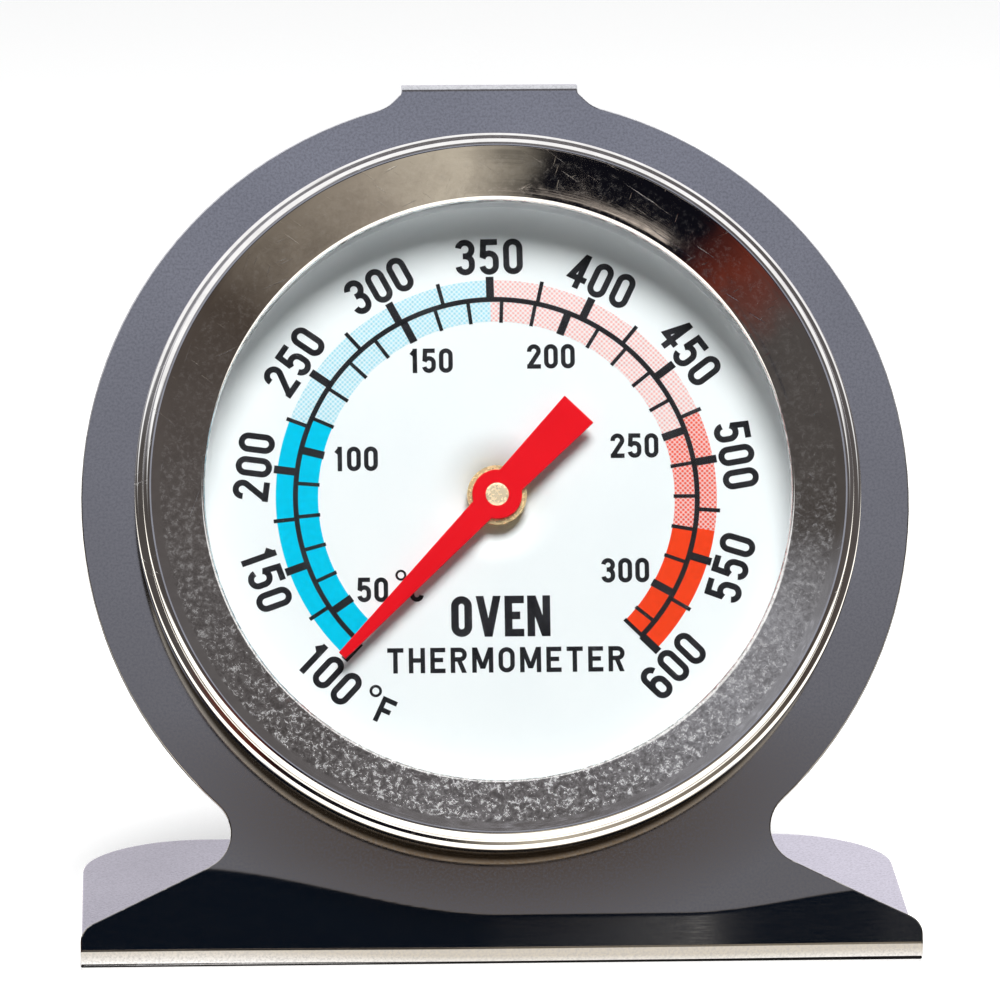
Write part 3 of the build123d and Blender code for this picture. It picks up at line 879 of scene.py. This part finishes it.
# Degrees round the ring from the viewer's right, and the tone there
RING_TONES = [
    (0, DARK_GREY), (30, DARK_GREY), (45, RUST), (56, BLACK), (86, BLACK), (102, CREAM), (120, TAN),
    (150, BROWN), (200, MID_GREY), (280, MID_GREY), (302, SILVER), (330, SILVER), (350, DARK_GREY),
]


def window(tree, across, ranges, soft):
    """1 where every angle is inside its range, fading to 0 over a soft edge."""
    amount = 1.0
    for angle, (low, high) in zip(across, ranges):
        amount = math(tree, "MULTIPLY", amount, remap(tree, angle, low - soft, low + soft))
        amount = math(tree, "MULTIPLY", amount, remap(tree, angle, high + soft, high - soft))
    return amount


def ring_tones(tree, around):
    """Colour ramp round the ring; its end meets its start."""
    ramp = add(tree, "ValToRGB", {"Fac": math(tree, "DIVIDE", around, 360.0)})
    stops = ramp.color_ramp.elements
    stops.remove(stops[1])
    for degrees, tone in RING_TONES:
        stop = stops[0] if degrees == 0 else stops.new(degrees / 360)
        stop.color = (*tone, 1)
    last = stops.new(1.0)
    last.color = (*RING_TONES[0][1], 1)
    return ramp.outputs["Color"]


def studio_world():
    """White for the camera and a weak fill for dull surfaces; what shines mirrors a simple room.

    away is the angle from the flat plate's mirror direction, around goes round that direction."""
    world = bpy.data.worlds.new("studio")
    bpy.context.scene.world = world
    world.use_nodes = True
    tree = world.node_tree
    tree.nodes.clear()
    towards = add(tree, "TexCoord").outputs["Generated"]
    middle = heading(0, MIRROR_ELEVATION)
    axes = (RIGHT, middle.cross(RIGHT), middle)
    u, v, w = [add(tree, "VectorMath", {0: towards, 1: axis}, operation="DOT_PRODUCT").outputs["Value"]
               for axis in axes]
    split = add(tree, "SeparateXYZ", {0: towards})
    front = math(tree, "MULTIPLY", split.outputs[1], -1.0)
    azimuth = math(tree, "MULTIPLY", math(tree, "ARCTAN2", split.outputs[0], front), DEGREES)
    elevation = math(tree, "MULTIPLY", math(tree, "ARCSINE", split.outputs[2]), DEGREES)
    away = math(tree, "MULTIPLY", math(tree, "ARCCOSINE", w), DEGREES)
    around = math(tree, "ADD", math(tree, "MULTIPLY", math(tree, "ARCTAN2", v, u), DEGREES), 180.0)
    coarse = noise(tree, towards, 9.0, 5.0, 0.65, 0.5)
    fine = noise(tree, towards, 90.0, 5.0, 0.7, 0.3)
    wander = math(tree, "MULTIPLY", math(tree, "SUBTRACT", coarse, 0.5), 22.0)
    colour = ring_tones(tree, math(tree, "ADD", around, wander))
    flecks = math(tree, "MULTIPLY", window(tree, (around,), ((238, 338),), 12),
                  remap(tree, fine, 0.50, 0.72, 0.0, 0.8))
    colour = blend(tree, flecks, colour, PALE_FLECK)
    areas = [
        # angles, their ranges, softness, tone; a later area covers an earlier one
        # seen in the flank's inner edge at the top, and in the front rim at the lower right
        ((around, away), ((60, 103), (18.9, 20.7)), 0.6, WARM_PATCH),
        ((around, away), ((293, 338), (36, 75)), 3.0, BRIGHT),
        # overhead, below, and below at the back
        ((away, elevation), ((55, 200), (20, 100)), 3.0, BRIGHT),
        ((elevation,), ((-200, -7),), 2.0, BRIGHT_BELOW),
        ((elevation, split.outputs[1]), ((-200, -15), (0.3, 2)), 0.1, DARK_BEHIND),
        # seen in the eased lower plate, with a thin line in it, and in the flat plate
        ((away, elevation), ((-5, 18.8), (-90, 24.3)), 0.5, NIGHT_BLUE),
        ((azimuth, elevation), ((3.8, 4.4), (16, 18.5)), 0.4, LIGHT_LINE),
        ((away, elevation), ((-5, 13), (24.8, 60)), 0.5, PLATE_GREY),
        # behind the object, seen in the foot
        ((azimuth, elevation), ((140, 181), (-5, 28)), 5.0, LILAC),
        ((azimuth, elevation), ((-181, -140), (-5, 28)), 5.0, LILAC),
    ]
    for across, ranges, soft, tone in areas:
        colour = blend(tree, window(tree, across, ranges, soft), colour, tone)
    path = add(tree, "LightPath")
    plain = add(tree, "Background", {"Color": (1, 1, 1, 1), "Strength": 1.0})
    soft_fill = add(tree, "Background", {"Color": (0.97, 1.0, 1.0, 1), "Strength": SOFT_FILL})
    room = add(tree, "Background", {"Color": colour, "Strength": 1.0})
    glossy, direct = path.outputs["Is Glossy Ray"], path.outputs["Is Camera Ray"]
    shine = add(tree, "MixShader", {0: glossy, 1: soft_fill.outputs[0], 2: room.outputs[0]})
    both = add(tree, "MixShader", {0: direct, 1: shine.outputs[0], 2: plain.outputs[0]})
    output = add(tree, "OutputWorld")
    tree.links.new(both.outputs[0], output.inputs["Surface"])


def area_light(name, azimuth, elevation, distance, size, watts):
    data = bpy.data.lights.new(name, "AREA")
    data.shape = "DISK"
    data.size = size
    data.energy = watts
    light = bpy.data.objects.new(name, data)
    bpy.context.scene.collection.objects.link(light)
    light.location = CENTRE + heading(azimuth, elevation) * distance
    light.rotation_mode = "QUATERNION"
    light.rotation_quaternion = heading(azimuth, elevation).to_track_quat("Z", "Y")
    light.visible_glossy = False


def pale_floor():
    """Pale paper that catches the shadow but is neither mirrored nor lights the object."""
    half = FLOOR_HALF
    mesh = bpy.data.meshes.new("floor")
    corners = [(-half, -half, 0), (half, -half, 0), (half, half, 0), (-half, half, 0)]
    mesh.from_pydata(corners, [], [(0, 1, 2, 3)])
    material, tree, shader = new_material("floor_paper", Roughness=0.9)
    fleck = noise(tree, place(tree), 60.0, 4.0)
    tree.links.new(blend(tree, fleck, (0.90, 0.90, 0.90), (0.93, 0.93, 0.93)), shader.inputs["Base Color"])
    shader.inputs["Emission Color"].default_value = (1, 1, 1, 1)
    shader.inputs["Emission Strength"].default_value = FLOOR_GLOW
    mesh.materials.append(material)
    floor = bpy.data.objects.new("floor", mesh)
    bpy.context.scene.collection.objects.link(floor)
    floor.location.z = -FLOOR_DROP
    floor.visible_glossy = False
    floor.visible_diffuse = False


def set_camera():
    data = bpy.data.cameras.new("camera")
    data.sensor_width = 36.0
    data.lens = data.sensor_width * CAMERA_DISTANCE / FIELD_WIDTH
    data.clip_start = 0.01
    camera = bpy.data.objects.new("camera", data)
    bpy.context.scene.collection.objects.link(camera)
    back = heading(CAMERA_AZIMUTH, CAMERA_ELEVATION)
    camera.rotation_mode = "QUATERNION"
    camera.rotation_quaternion = back.to_track_quat("Z", "Y")
    side = camera.rotation_quaternion @ Vector((1, 0, 0))
    camera.location = CENTRE + side * CAMERA_ASIDE + back * CAMERA_DISTANCE
    bpy.context.scene.camera = camera


build_object()
studio_world()
area_light("key", azimuth=8, elevation=62, distance=0.6, size=0.30, watts=5.1)
area_light("fill", azimuth=30, elevation=20, distance=0.8, size=0.5, watts=0.12)
pale_floor()
set_camera()
bpy.context.scene.view_settings.view_transform = "Standard"
